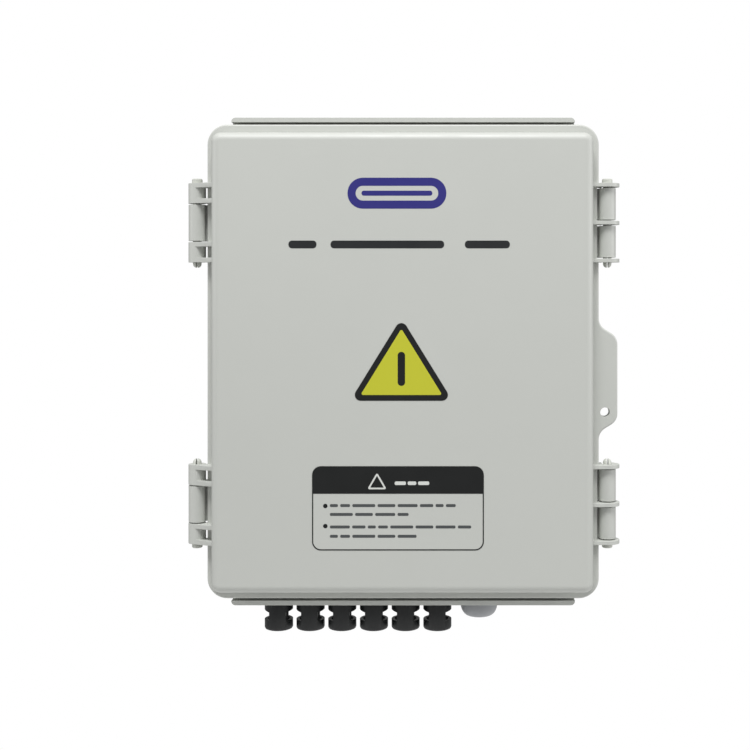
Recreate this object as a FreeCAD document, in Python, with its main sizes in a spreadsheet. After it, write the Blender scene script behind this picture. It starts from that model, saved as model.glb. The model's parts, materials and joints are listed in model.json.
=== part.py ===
import FreeCAD, Part

import math
import os
import re

import Sketcher
from FreeCAD import Placement, Rotation, Vector

# A wall-mounted DC combiner box for three solar strings. The lid swings on two pins at its left side and
# its plates hook over two pins at its right side. Millimetres, +Z up, the lid faces -Y, and the origin is
# the centre of the back face, which lies against the wall.
DIMENSIONS = {
    # base: a moulded tray with a thicker rim
    "base_width": 262,
    "base_height": 320,
    "base_corner": 14,
    "base_depth": 104,
    "base_wall": 3,
    "back_rounding": 4,
    "rim_width": 266,
    "rim_height": 324,
    "rim_corner": 15,
    "rim_depth": 5,
    # rain lips along the straight part of the top and bottom edges
    "lip_span": 237.4,
    "lip_reach": 168.4,
    "lip_thickness": 3.2,
    "lip_back": 98,
    "lip_front": 108,
    "lip_rounding": 3,
    # lid: a flange round a raised panel
    "lid_width": 270.2,
    "lid_height": 327.2,
    "lid_corner": 13.8,
    "lid_back": 104.5,
    "flange_thickness": 4,
    "flange_rounding": 1.2,
    "panel_width": 260.2,
    "panel_height": 313.6,
    "panel_corner": 6.4,
    "panel_rise": 15.5,
    "panel_rounding": 5.5,
    "lid_wall": 3,
    "gasket_width": 263.4,
    "gasket_height": 321.4,
    "gasket_corner": 12,
    "gasket_band": 2.4,
    "gasket_back": 104.1,
    "gasket_groove": 2,
    # printed labels on the raised panel: a three-cornered sign and a notice
    "label_film": 0.25,
    "sign_middle": -0.5,
    "sign_half": 34.7,
    "sign_bottom": -25.6,
    "sign_apex": 30.6,
    "sign_corner": 4,
    "notice_left": -61,
    "notice_right": 55.4,
    "notice_bottom": -127,
    "notice_top": -69.9,
    "notice_corner": 6,
    # hinge on the left and closure on the right, in two groups above and below the middle
    "pin_depth": 105.5,
    "hinge_side": 142.6,
    "closure_side": 141.2,
    "group_height": 97,
    "group_drop": 1.3,
    "group_half": 27.3,
    "knuckle_radius": 6,
    "barrel_radius": 5.9,
    "ear_height": 14,
    "rib_thickness": 3.2,
    "rib_front": 118,
    "barrel_gap": 0.8,
    "plate_thickness": 2.6,
    "plate_radius": 8.4,
    "plate_clear": 134.6,
    "web_back": 97,
    "pin_radius": 2.95,
    "pin_bore": 3,
    "hook_slot": 3.3,
    "pin_head_radius": 3.6,
    "pin_head_height": 3.3,
    "pin_head_bevel": 0.6,
    "pin_head_gap": 0.2,
    "pin_snap_height": 3.8,
    "pin_split": 1,
    # padlock tab on the right edges of the lid and the base
    "tab_reach": 148,
    "tab_top": 20.9,
    "tab_bottom": -45,
    "tab_slant": 4,
    "tab_rounding": 9,
    "tab_back": 99.6,
    "tab_front": 104,
    "tab_hole_side": 139.4,
    "tab_hole_height": -35,
    "tab_hole": 3.3,
    # holes for the wall screws, outside the corners of the mounting plate
    "wall_hole_side": 119,
    "wall_hole_height": 148,
    "wall_hole": 2.75,
    # mounting plate on four bosses
    "plate_width": 228,
    "plate_height": 280,
    "plate_back": 9,
    "plate_front": 11,
    "boss_side": 104,
    "boss_height": 130,
    "boss_radius": 6,
    "plate_screw": 2,
    "plate_screw_hole": 2.2,
    "plate_screw_head": 4.2,
    "plate_head_height": 2.4,
    "plate_screw_length": 8,
    # top-hat rails, 35 mm wide and 7.5 mm high
    "rail_length": 220,
    "rail_width": 35,
    "rail_crown": 27,
    "rail_metal": 1,
    "rail_face": 18.5,
    "upper_rail": 75,
    "lower_rail": -50,
    "rail_screw": 2.5,
    "rail_screw_hole": 2.7,
    "rail_screw_head": 4.6,
    "rail_screw_side": 100,
    # modular devices, measured forward from the rail's face and up and down from its middle
    "module_pitch": 18,
    "module_width": 17.5,
    "module_half": 41,
    "module_shoulder": 44,
    "module_nose": 58,
    "nose_top": 25,
    "nose_bottom": -26.5,
    "foot_back": -3,
    "foot_slot": -1.3,
    "foot_grip": 15.8,
    "foot_clear": 17.8,
    "terminal_depth": 28,
    "terminal_height": 33.5,
    "terminal_hole": 3.4,
    "terminal_inner": 27,
    "driver_hole": 3,
    "driver_depth": 31,
    "screw_top": 38,
    "screw_radius": 2.7,
    # fuse drawers
    "first_holder": -88.25,
    "drawer_wall": 2,
    "drawer_width": 12.9,
    "drawer_back": 31,
    "drawer_low": -22,
    "drawer_high": 21,
    "drawer_slope": 12.5,
    "cavity_back": 29.5,
    "cavity_low": -24.6,
    "cavity_high": 22,
    "pivot_forward": 54,
    "pivot_height": -19.5,
    "trunnion": 1.4,
    "trunnion_hole": 1.5,
    "trunnion_reach": 1.2,
    "grip_low": 13,
    "grip_high": 19,
    "grip_front": 62,
    "fuse_forward": 47,
    "fuse_radius": 5.15,
    "fuse_bore": 5.3,
    "fuse_low": -19.3,
    "fuse_length": 38,
    "ferrule_length": 10,
    "fuse_barrel": 4.8,
    # breaker
    "breaker_left": -52.25,
    "lever_hub": 6,
    "lever_well": 6.5,
    "lever_forward": 55,
    "lever_reach": 72,
    "lever_thickness": 4,
    "lever_foot": 2,
    "breaker_nose_half": 22.5,
    "lever_lift": 30,
    "lever_margin": 5,
    # surge protector
    "surge_left": -13.75,
    "cartridge_back": 22,
    "cartridge_front": 60,
    "cartridge_half": 23,
    "cartridge_gap": 0.4,
    "blade_length": 10,
    "blade_width": 6,
    "blade_thickness": 1.2,
    "blade_play": 0.4,
    "blade_height": 14,
    "cartridge_grip": 3,
    "grip_margin": 3,
    "grip_top": 5,
    "grip_bottom": 9,
    "grip_seat": 0.5,
    # end stops
    "stop_width": 8,
    "stop_half": 22,
    "stop_nose": 24,
    "stop_nose_half": 9,
    "stop_nose_rise": 8,
    "stop_gap": 0.5,
    # copper combs and brass earth bar
    "comb_thickness": 1.6,
    "comb_low": 43.5,
    "comb_high": 53,
    "prong_width": 4,
    "comb_tail": 6,
    "prong_low": 29,
    "earth_left": 60,
    "earth_length": 44,
    "earth_low": 0,
    "earth_high": 10,
    "earth_back": 19,
    "earth_front": 27,
    "earth_post": 4,
    "earth_hole": 3,
    "earth_end": 5,
    "earth_first_wire": 8.5,
    "earth_pitch": 9,
    "earth_wire_inset": 4,
    "earth_floor": 3,
    "earth_screw_height": 6,
    "earth_screw": 1.4,
    "earth_screw_hole": 1.6,
    "earth_screw_head": 2.7,
    "earth_head_height": 2.2,
    "earth_screw_length": 1.2,
    # leads
    "lead_radius": 2.6,
    "feed_radius": 3,
    "lead_exit": 150,
    # string connectors
    "first_connector": -92,
    "connector_pitch": 23,
    "connector_depth": 64,
    "connector_thread": 7.3,
    "connector_hole": 7.6,
    "connector_inner": 10,
    "seal_thickness": 1.5,
    "seal_radius": 10.4,
    "collar_radius": 11,
    "collar_end": 6,
    "waist_radius": 9.2,
    "waist_end": 11,
    "shell_radius": 10.2,
    "shell_end": 36.2,
    "shell_rounding": 1.6,
    "socket_radius": 7.9,
    "socket_top": 14,
    "notch_top": 21.9,
    "notch_slope": 22.9,
    "notch_end": 28.9,
    "notch_half": 6,
    "contact_radius": 2,
    "contact_end": 31,
    "contact_root": 1.6,
    "nut_radius": 10.8,
    "nut_height": 5,
    # cable gland
    "gland_side": 53.2,
    "gland_thread": 11,
    "gland_hole": 11.3,
    "gland_bore": 7.6,
    "gland_inner": 10,
    "gland_hex": 14.6,
    "gland_hex_height": 5,
    "gland_thread_end": 15.5,
    "cap_radius": 13.4,
    "cap_top": 5.5,
    "cap_inner": 11.4,
    "cap_step": 16,
    "cap_seat": 10.2,
    "cap_seat_end": 23.2,
    "cap_mouth": 7.4,
    "cap_end": 26.4,
    "cap_dome": 9,
    "cable_seal_outer": 9.9,
    "cable_seal_inner": 6.5,
    "gland_nut_radius": 15.5,
}

doc = FreeCAD.newDocument("combiner_box")
sheet = doc.addObject("Spreadsheet::Sheet", "Dimensions")
for row, (alias, size) in enumerate(DIMENSIONS.items(), start=1):
    sheet.set(f"A{row}", alias)
    sheet.set(f"B{row}", str(size))
    sheet.setAlias(f"B{row}", alias)
doc.recompute()

nodes = {}


def formula(text):
    """Point every dimension's name in a formula at its cell of the sheet."""
    return re.sub(r"[a-z][a-z_]+[a-z]", lambda word: f"Dimensions.{word.group()}", str(text))


def size_of(alias):
    return float(sheet.get(alias))


def node(name, solid):
    """Name a finished sub-part."""
    solid.Label = name
    nodes[name] = solid
    return solid


def place(solid, x, y, z):
    for axis, text in zip("xyz", (x, y, z)):
        solid.setExpression(f"Placement.Base.{axis}", formula(text))


def block(name, low, high):
    """A rectangular block between two corners, each given as three formulas."""
    solid = doc.addObject("Part::Box", name)
    place(solid, *low)
    for side, start, end in zip(("Length", "Width", "Height"), low, high):
        solid.setExpression(side, formula(f"({end}) - ({start})"))
    return solid


TURNS = {
    "X": Rotation(Vector(0, 1, 0), 90),
    "Y": Rotation(Vector(1, 0, 0), -90),
    "Z": Rotation(),
}


def rod(name, start, radius, length, axis="Z"):
    """A round bar that starts at a point and runs along one of the axes."""
    solid = doc.addObject("Part::Cylinder", name)
    solid.Placement = Placement(Vector(), TURNS[axis])
    place(solid, *start)
    solid.setExpression("Radius", formula(radius))
    solid.setExpression("Height", formula(length))
    return solid


def hexagon(name, start, radius, length):
    """An upright hexagonal bar, given by the radius across its corners."""
    solid = doc.addObject("Part::Prism", name)
    solid.Polygon = 6
    place(solid, *start)
    solid.setExpression("Circumradius", formula(radius))
    solid.setExpression("Height", formula(length))
    return solid


def join(name, *solids):
    union = doc.addObject("Part::MultiFuse", name)
    union.Shapes = list(solids)
    union.Refine = True
    return union


def cut(name, base, *tools):
    difference = doc.addObject("Part::Cut", name)
    difference.Base = base
    difference.Tool = tools[0] if len(tools) == 1 else join(f"{name}_tools", *tools)
    difference.Refine = True
    return difference


def group(name, solids):
    """Several separate, identical solids in one node."""
    compound = doc.addObject("Part::Compound", name)
    compound.Links = solids
    return compound


def sketch_in(body, role):
    sketch = body.newObject("Sketcher::SketchObject", f"{body.Name}_sketch")
    origin_plane = next(part for part in body.Origin.OriginFeatures if part.Role == role)
    sketch.AttachmentSupport = [(origin_plane, "")]
    sketch.MapMode = "FlatFace"
    return sketch


def drive(sketch, kind, elements, text):
    """A dimension of a sketch that follows a formula."""
    index = sketch.addConstraint(Sketcher.Constraint(kind, *elements, 1.0))
    sketch.renameConstraint(index, f"size_{index}")
    sketch.setExpression(f"Constraints.size_{index}", formula(text))


def polygon(sketch, points):
    """A closed outline whose corners are pairs of formulas."""
    count = len(points)
    ring = [
        Vector(math.cos(math.tau * turn / count), math.sin(math.tau * turn / count))
        for turn in range(count)
    ]
    sketch.addGeometry([Part.LineSegment(ring[i], ring[(i + 1) % count]) for i in range(count)])
    sketch.addConstraint([Sketcher.Constraint("Coincident", i, 2, (i + 1) % count, 1) for i in range(count)])
    for corner, (across, up) in enumerate(points):
        drive(sketch, "DistanceX", (-1, 1, corner, 1), across)
        drive(sketch, "DistanceY", (-1, 1, corner, 1), up)


def pad(body, sketch, depth):
    feature = body.newObject("PartDesign::Pad", f"{body.Name}_pad")
    feature.Profile = sketch
    feature.setExpression("Length", formula(depth))
    return feature


def slab(name, role, points, thickness, at):
    """A plate of constant section: its outline lies in one of the body's planes."""
    body = doc.addObject("PartDesign::Body", name)
    sketch = sketch_in(body, role)
    polygon(sketch, points)
    pad(body, sketch, thickness)
    place(body, *at)
    return body


def turned(name, points, at):
    """A piece turned about an upright axis, from radius and height pairs."""
    body = doc.addObject("PartDesign::Body", name)
    sketch = sketch_in(body, "XZ_Plane")
    polygon(sketch, points)
    feature = body.newObject("PartDesign::Revolution", f"{name}_turn")
    feature.Profile = sketch
    feature.ReferenceAxis = (sketch, ["V_Axis"])
    feature.Angle = 360
    place(body, *at)
    return body


def round_edges(body, base, chosen, radius):
    """Round the edges of a feature that a test picks."""
    doc.recompute()
    names = [f"Edge{i}" for i, edge in enumerate(base.Shape.Edges, start=1) if chosen(edge)]
    fillet = body.newObject("PartDesign::Fillet", f"{body.Name}_rounding")
    fillet.Base = (base, names)
    fillet.setExpression("Radius", formula(radius))
    return fillet


def face_edges(level):
    """Picks the edges that lie in the plane y = level of a body's own frame."""
    return lambda edge: all(abs(vertex.Point.y - level) < 1e-6 for vertex in edge.Vertexes)


def panel(name, width, height, corner, back, depth):
    """An upright plate with rounded corners, centred on the box, that starts at a depth and grows forward."""
    body = doc.addObject("PartDesign::Body", name)
    sketch = sketch_in(body, "XZ_Plane")
    corners = [(1, -1), (1, 1), (-1, 1), (-1, -1)]
    side, bend = 50, 5
    for turn, (right, up) in enumerate(corners):
        centre = Vector(right * side, up * side)
        start = math.radians(90 * turn - 90)
        arc = Part.Circle(centre, Vector(0, 0, 1), bend)
        sketch.addGeometry(Part.ArcOfCircle(arc, start, start + math.pi / 2))
    for turn in range(4):
        this_end = sketch.getPoint(turn, 2)
        next_start = sketch.getPoint((turn + 1) % 4, 1)
        sketch.addGeometry(Part.LineSegment(this_end, next_start))
    for turn in range(4):
        sketch.addConstraint(Sketcher.Constraint("Tangent", turn, 2, 4 + turn, 1))
        sketch.addConstraint(Sketcher.Constraint("Tangent", 4 + turn, 2, (turn + 1) % 4, 1))
    sketch.addConstraint([Sketcher.Constraint("Equal", 0, other) for other in (1, 2, 3)])
    sketch.addConstraint([Sketcher.Constraint("Vertical", line) for line in (4, 6)])
    sketch.addConstraint([Sketcher.Constraint("Horizontal", line) for line in (5, 7)])
    sketch.addConstraint(Sketcher.Constraint("Symmetric", 4, 1, 6, 1, -1, 1))
    drive(sketch, "Radius", (0,), corner)
    drive(sketch, "DistanceX", (6, 1, 4, 2), width)
    drive(sketch, "DistanceY", (4, 1, 4, 2), f"({height}) - 2 * ({corner})")
    feature = pad(body, sketch, depth)
    place(body, 0, f"-({back})", 0)
    return body, feature


# ---------------------------------------------------------------- hinge and closure layout
GROUPS = {"upper": 1, "lower": -1}


def group_middle(level):
    return f"({GROUPS[level]} * group_height - group_drop)"


def closure_plate_levels(level):
    """The lower faces of the three plates of a closure group."""
    middle = group_middle(level)
    return [
        f"{middle} - group_half",
        f"{middle} - plate_thickness / 2",
        f"{middle} + group_half - plate_thickness",
    ]


# ---------------------------------------------------------------- base
def base_barrels(level):
    """The barrels that stand out of the base's sides, each on a web to the rim."""
    middle = group_middle(level)
    reach = "(group_half - ear_height - barrel_gap)"
    spans = [("hinge", -1, f"{middle} - {reach}", f"2 * {reach}")]
    for number, plate in enumerate(closure_plate_levels(level)[:2]):
        length = "group_half - 1.5 * plate_thickness - 2 * barrel_gap"
        spans.append((f"closure_{number}", 1, f"{plate} + plate_thickness + barrel_gap", length))
    wall = "(base_width / 2 - 1)"
    solids = []
    for kind, sign, low, length in spans:
        axis, left, right = "-hinge_side", "-hinge_side", f"-{wall}"
        if sign > 0:
            axis, left, right = "closure_side", wall, "closure_side"
        name = f"base_{kind}_{level}"
        solids.append(rod(f"{name}_barrel", (axis, "-pin_depth", low), "barrel_radius", length))
        top = f"{low} + {length}"
        solids.append(block(f"{name}_web", (left, "-tab_front", low), (right, "-web_back", top)))
    return solids


def tab_outline():
    """The padlock tab's slanted ends, from its foot on the lid's edge out to its reach and back."""
    return [
        ("lid_width / 2", "tab_bottom - tab_slant"),
        ("tab_reach", "tab_bottom + tab_slant"),
        ("tab_reach", "tab_top - tab_slant"),
        ("lid_width / 2", "tab_top + tab_slant"),
    ]


def tab_bends():
    """Picks the edges along the depth at which the tab's outline turns."""
    inner, middle = size_of("lid_width") / 2, (size_of("tab_top") + size_of("tab_bottom")) / 2
    half = (size_of("tab_top") - size_of("tab_bottom")) / 2 + size_of("tab_slant")

    def chosen(edge):
        place, along = edge.CenterOfMass, edge.tangentAt(edge.FirstParameter)
        return abs(along.y) > 0.9 and place.x > inner - 1e-6 and abs(place.z - middle) < half + 1e-6

    return chosen


def padlock_tab(name, back, front):
    """The base's half of the tab that a padlock goes through, with a foot on the edge beside it."""
    body = doc.addObject("PartDesign::Body", name)
    sketch = sketch_in(body, "XZ_Plane")
    polygon(sketch, [
        ("lid_width / 2 - 6", "tab_bottom - 2 * tab_rounding"),
        ("lid_width / 2", "tab_bottom - 2 * tab_rounding"),
        *tab_outline(),
        ("lid_width / 2", "tab_top + 2 * tab_rounding"),
        ("lid_width / 2 - 6", "tab_top + 2 * tab_rounding"),
    ])
    feature = pad(body, sketch, f"{front} - {back}")
    round_edges(body, feature, tab_bends(), "tab_rounding")
    place(body, 0, f"-({back})", 0)
    return body


def rain_lip(name, sign):
    """A lip that stands out of the rim and turns forward over the lid's edge."""
    body = doc.addObject("PartDesign::Body", name)
    sketch = sketch_in(body, "YZ_Plane")
    polygon(sketch, [
        ("-lip_back", f"{sign} * (base_height / 2 - 1)"),
        ("-lip_back - lip_thickness", f"{sign} * (base_height / 2 - 1)"),
        ("-lip_back - lip_thickness", f"{sign} * (lip_reach - lip_thickness)"),
        ("-lip_front", f"{sign} * (lip_reach - lip_thickness)"),
        ("-lip_front", f"{sign} * lip_reach"),
        ("-lip_back", f"{sign} * lip_reach"),
    ])
    feature = pad(body, sketch, "lip_span")
    reach = size_of("lip_reach")

    def at_an_end(edge):
        return all(abs(abs(vertex.Point.z) - reach) < 1e-6 for vertex in edge.Vertexes) and (
            abs(edge.tangentAt(edge.FirstParameter).y) > 0.9
        )

    round_edges(body, feature, at_an_end, "lip_rounding")
    place(body, "-lip_span / 2", 0, 0)
    return body


def corner_places(side, height):
    return [(f"{right} * {side}", f"{up} * {height}") for right in (-1, 1) for up in (-1, 1)]


def make_base():
    tray, tray_pad = panel("tray", "base_width", "base_height", "base_corner", "0", "base_depth")
    round_edges(tray, tray_pad, face_edges(0), "back_rounding")
    rim, _ = panel("rim", "rim_width", "rim_height", "rim_corner", "base_depth - rim_depth", "rim_depth")
    inside = "base_wall * 2"
    hollow, _ = panel(
        "hollow",
        f"base_width - {inside}",
        f"base_height - {inside}",
        "base_corner - base_wall",
        "base_wall",
        "base_depth",
    )
    outside = [tray, rim, padlock_tab("base_tab", "tab_back", "tab_front")]
    outside += [rain_lip("top_lip", 1), rain_lip("bottom_lip", -1)]
    outside += base_barrels("upper") + base_barrels("lower")
    walls = cut("base_walls", join("base_outside", *outside), hollow)
    floor = "-base_wall / 2"
    bosses = []
    holes = []
    for number, (x, z) in enumerate(corner_places("boss_side", "boss_height")):
        boss_length = "plate_back - base_wall / 2"
        bosses.append(rod(f"boss_{number}", (x, "-plate_back", z), "boss_radius", boss_length, "Y"))
        spot = (x, "-plate_back - 1", z)
        holes.append(rod(f"boss_hole_{number}", spot, "plate_screw_hole", "plate_back - 1", "Y"))
    for number, (x, z) in enumerate(corner_places("wall_hole_side", "wall_hole_height")):
        holes.append(rod(f"wall_hole_{number}", (x, "-base_wall - 1", z), "wall_hole", "base_wall + 2", "Y"))
    under = "-base_height / 2 - 1"
    for number in range(6):
        spot = (f"first_connector + {number} * connector_pitch", "-connector_depth", under)
        holes.append(rod(f"connector_hole_{number}", spot, "connector_hole", "base_wall + 2"))
    gland_spot = ("gland_side", "-connector_depth", under)
    holes.append(rod("gland_wall_hole", gland_spot, "gland_hole", "base_wall + 2"))
    tab_spot = ("tab_hole_side", "-tab_front - 1", "tab_hole_height")
    holes.append(rod("base_tab_hole", tab_spot, "tab_hole", "tab_front - tab_back + 2", "Y"))
    for sign, side in ((-1, "hinge_side"), (1, "closure_side")):
        for level in GROUPS:
            low = f"{group_middle(level)} - group_half"
            spot = (f"{sign} * {side}", "-pin_depth", low)
            holes.append(rod(f"base_bore_{side}_{level}", spot, "pin_bore", "2 * group_half"))
    node("base_shell", cut("base", join("base_with_bosses", walls, *bosses), *holes))


# ---------------------------------------------------------------- lid
def hinge_ear(name, low):
    """A knuckle round the hinge pin, on two ribs that run up to the raised panel's side."""
    knuckle = rod(f"{name}_knuckle", ("-hinge_side", "-pin_depth", low), "knuckle_radius", "ear_height")
    root = "-panel_width / 2 + 1"
    ribs = [
        slab(
            f"{name}_rib_{number}",
            "XY_Plane",
            [
                ("-hinge_side - knuckle_radius * 0.7", "-pin_depth - knuckle_radius * 0.7"),
                (root, "-rib_front"),
                (root, "-lid_back - 1"),
                ("-lid_width / 2", "-lid_back - 0.2"),
                ("-hinge_side", "-pin_depth"),
            ],
            "rib_thickness",
            (0, 0, f"{low} + {number} * (ear_height - rib_thickness)"),
        )
        for number in (0, 1)
    ]
    return [knuckle, *ribs]


def closure_plate(name, low):
    """A rounded plate on the lid with a slot, open at the back, that hooks over the closure pin."""
    disc = rod(f"{name}_disc", ("closure_side", "-pin_depth", low), "plate_radius", "plate_thickness")
    top = f"{low} + plate_thickness"
    arm = block(
        f"{name}_arm",
        ("panel_width / 2 - 1", "-pin_depth - plate_radius", low),
        ("closure_side", "-lid_back", top),
    )
    seat = ("closure_side", "-pin_depth", f"{low} - 1")
    round_end = rod(f"{name}_seat", seat, "hook_slot", "plate_thickness + 2")
    slot = block(
        f"{name}_slot",
        ("closure_side - hook_slot", "-pin_depth", f"{low} - 1"),
        ("closure_side + hook_slot", "-pin_depth + plate_radius + 1", f"{top} + 1"),
    )
    relief = block(
        f"{name}_relief",
        ("plate_clear - 10", "-lid_back", f"{low} - 1"),
        ("plate_clear", "-pin_depth + plate_radius + 1", f"{top} + 1"),
    )
    return [disc, arm], [round_end, slot, relief]


def lid_flange():
    """The lid's flange and its half of the padlock tab: one plate with its front edge rounded."""
    body = doc.addObject("PartDesign::Body", "flange")
    sketch = sketch_in(body, "XZ_Plane")
    polygon(sketch, [
        ("-lid_width / 2", "-lid_height / 2"),
        ("lid_width / 2", "-lid_height / 2"),
        *tab_outline(),
        ("lid_width / 2", "lid_height / 2"),
        ("-lid_width / 2", "lid_height / 2"),
    ])
    plate = pad(body, sketch, "flange_thickness")
    height = size_of("lid_height") / 2

    def at_a_corner(edge):
        return abs(edge.tangentAt(edge.FirstParameter).y) > 0.9 and abs(edge.CenterOfMass.z) > height - 1e-6

    cornered = round_edges(body, plate, at_a_corner, "lid_corner")
    blended = round_edges(body, cornered, tab_bends(), "tab_rounding")
    round_edges(body, blended, face_edges(-size_of("flange_thickness")), "flange_rounding")
    place(body, 0, "-lid_back", 0)
    return body


def make_lid():
    flange = lid_flange()
    face, face_pad = panel(
        "raised_panel",
        "panel_width",
        "panel_height",
        "panel_corner",
        "lid_back",
        "flange_thickness + panel_rise",
    )
    front = -size_of("flange_thickness") - size_of("panel_rise")
    round_edges(face, face_pad, face_edges(front), "panel_rounding")
    hollow, hollow_pad = panel(
        "lid_hollow",
        "panel_width - 2 * lid_wall",
        "panel_height - 2 * lid_wall",
        "panel_corner - lid_wall",
        "lid_back",
        "flange_thickness + panel_rise - lid_wall",
    )
    round_edges(hollow, hollow_pad, face_edges(front + size_of("lid_wall")), "panel_rounding - lid_wall")
    solids = [flange, face]
    tools = [hollow]
    for level in GROUPS:
        low = f"{group_middle(level)} - group_half"
        for number, start in enumerate((low, f"{group_middle(level)} + group_half - ear_height")):
            solids += hinge_ear(f"{level}_ear_{number}", start)
        for number, start in enumerate(closure_plate_levels(level)):
            added, removed = closure_plate(f"{level}_plate_{number}", start)
            solids += added
            tools += removed
        spot = ("-hinge_side", "-pin_depth", f"{low} - 1")
        tools.append(rod(f"lid_bore_{level}", spot, "pin_bore", "2 * group_half + 2"))
        for number, start in enumerate(closure_plate_levels(level)[:2]):
            begin = f"{start} + plate_thickness"
            tools.append(block(
                f"{level}_notch_{number}",
                ("lid_width / 2 - 1.2", "-lid_back - flange_thickness - 1", begin),
                ("lid_width / 2 + 1", "-lid_back + 1", f"{begin} + group_half - 1.5 * plate_thickness"),
            ))
    groove, _ = panel("groove", "gasket_width", "gasket_height", "gasket_corner", "lid_back", "gasket_groove")
    island, _ = panel(
        "groove_island",
        "gasket_width - 2 * gasket_band",
        "gasket_height - 2 * gasket_band",
        "gasket_corner - gasket_band",
        "lid_back - 1",
        "gasket_groove + 2",
    )
    tools.append(cut("groove_ring", groove, island))
    tab_spot = ("tab_hole_side", "-lid_back - flange_thickness - 1", "tab_hole_height")
    tools.append(rod("lid_tab_hole", tab_spot, "tab_hole", "flange_thickness + 2", "Y"))
    node("lid_shell", cut("lid", join("lid_solids", *solids), *tools))

    ring, _ = panel(
        "gasket_outer",
        "gasket_width",
        "gasket_height",
        "gasket_corner",
        "gasket_back",
        "lid_back - gasket_back + gasket_groove",
    )
    middle, _ = panel(
        "gasket_inner",
        "gasket_width - 2 * gasket_band",
        "gasket_height - 2 * gasket_band",
        "gasket_corner - gasket_band",
        "gasket_back - 1",
        "lid_back - gasket_back + gasket_groove + 2",
    )
    node("lid_gasket", cut("gasket", ring, middle))


def label(name, points, corner):
    """A thin printed film with rounded corners, stuck on the front of the raised panel."""
    body = slab(name, "XZ_Plane", points, "label_film", (0, "-lid_back - flange_thickness - panel_rise", 0))
    round_edges(body, body.Tip, lambda edge: abs(edge.tangentAt(edge.FirstParameter).y) > 0.9, corner)
    return body


def make_labels():
    sign_points = [
        ("sign_middle - sign_half", "sign_bottom"),
        ("sign_middle + sign_half", "sign_bottom"),
        ("sign_middle", "sign_apex"),
    ]
    notice_points = [
        ("notice_left", "notice_bottom"),
        ("notice_right", "notice_bottom"),
        ("notice_right", "notice_top"),
        ("notice_left", "notice_top"),
    ]
    sign = label("sign_film", sign_points, "sign_corner")
    notice = label("notice_film", notice_points, "notice_corner")
    node("lid_labels", group("label_set", [sign, notice]))


def make_pins():
    """Pins with a flat head and a split, domed snap end: the upper ones drop in, the lower ones push up."""
    for name, sign, side in (("left", -1, "hinge_side"), ("right", 1, "closure_side")):
        for level, up in GROUPS.items():
            stem = f"{name}_pin_{level}"
            body = turned(
                f"{stem}_body",
                [
                    (0, f"{up} * (group_half + pin_head_height)"),
                    ("pin_head_radius - pin_head_bevel", f"{up} * (group_half + pin_head_height)"),
                    ("pin_head_radius", f"{up} * (group_half + pin_head_height - pin_head_bevel)"),
                    ("pin_head_radius", f"{up} * (group_half + pin_head_gap)"),
                    ("pin_radius", f"{up} * (group_half + pin_head_gap)"),
                    ("pin_radius", f"-{up} * (group_half + pin_snap_height * 0.25)"),
                    ("pin_radius * 0.92", f"-{up} * (group_half + pin_snap_height * 0.55)"),
                    ("pin_radius * 0.72", f"-{up} * (group_half + pin_snap_height * 0.8)"),
                    ("pin_radius * 0.4", f"-{up} * (group_half + pin_snap_height * 0.95)"),
                    (0, f"-{up} * (group_half + pin_snap_height)"),
                ],
                (f"{sign} * {side}", "-pin_depth", group_middle(level)),
            )
            end = f"{group_middle(level)} - {up} * (group_half + pin_snap_height + 1)"
            start = f"{group_middle(level)} - {up} * (group_half - 6)"
            low, high = (end, start) if up > 0 else (start, end)
            slit = block(
                f"{stem}_split",
                (f"{sign} * {side} - pin_split / 2", "-pin_depth - pin_radius - 1", low),
                (f"{sign} * {side} + pin_split / 2", "-pin_depth + pin_radius + 1", high),
            )
            node(stem, cut(f"{stem}_cut", body, slit))


# ---------------------------------------------------------------- plate and rails
def screw_forward(name, x, z, seat, shank, head, head_height, length):
    """A screw that points at the wall, with a cross slot in its head."""
    stem = rod(f"{name}_stem", (x, f"-({seat}) - 0.5", z), shank, f"{length} + 0.5", "Y")
    cap = rod(f"{name}_head", (x, f"-({seat}) - {head_height}", z), head, head_height, "Y")
    front = f"-({seat}) - {head_height} - 1"
    back = f"-({seat}) - {head_height} + 1"
    arm = f"({head}) * 0.62"
    slots = [
        block(f"{name}_slot_{n}", (f"{x} - {w}", front, f"{z} - {t}"), (f"{x} + {w}", back, f"{z} + {t}"))
        for n, (w, t) in enumerate(((arm, "0.5"), ("0.5", arm)))
    ]
    return cut(name, join(f"{name}_blank", stem, cap), *slots)


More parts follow.
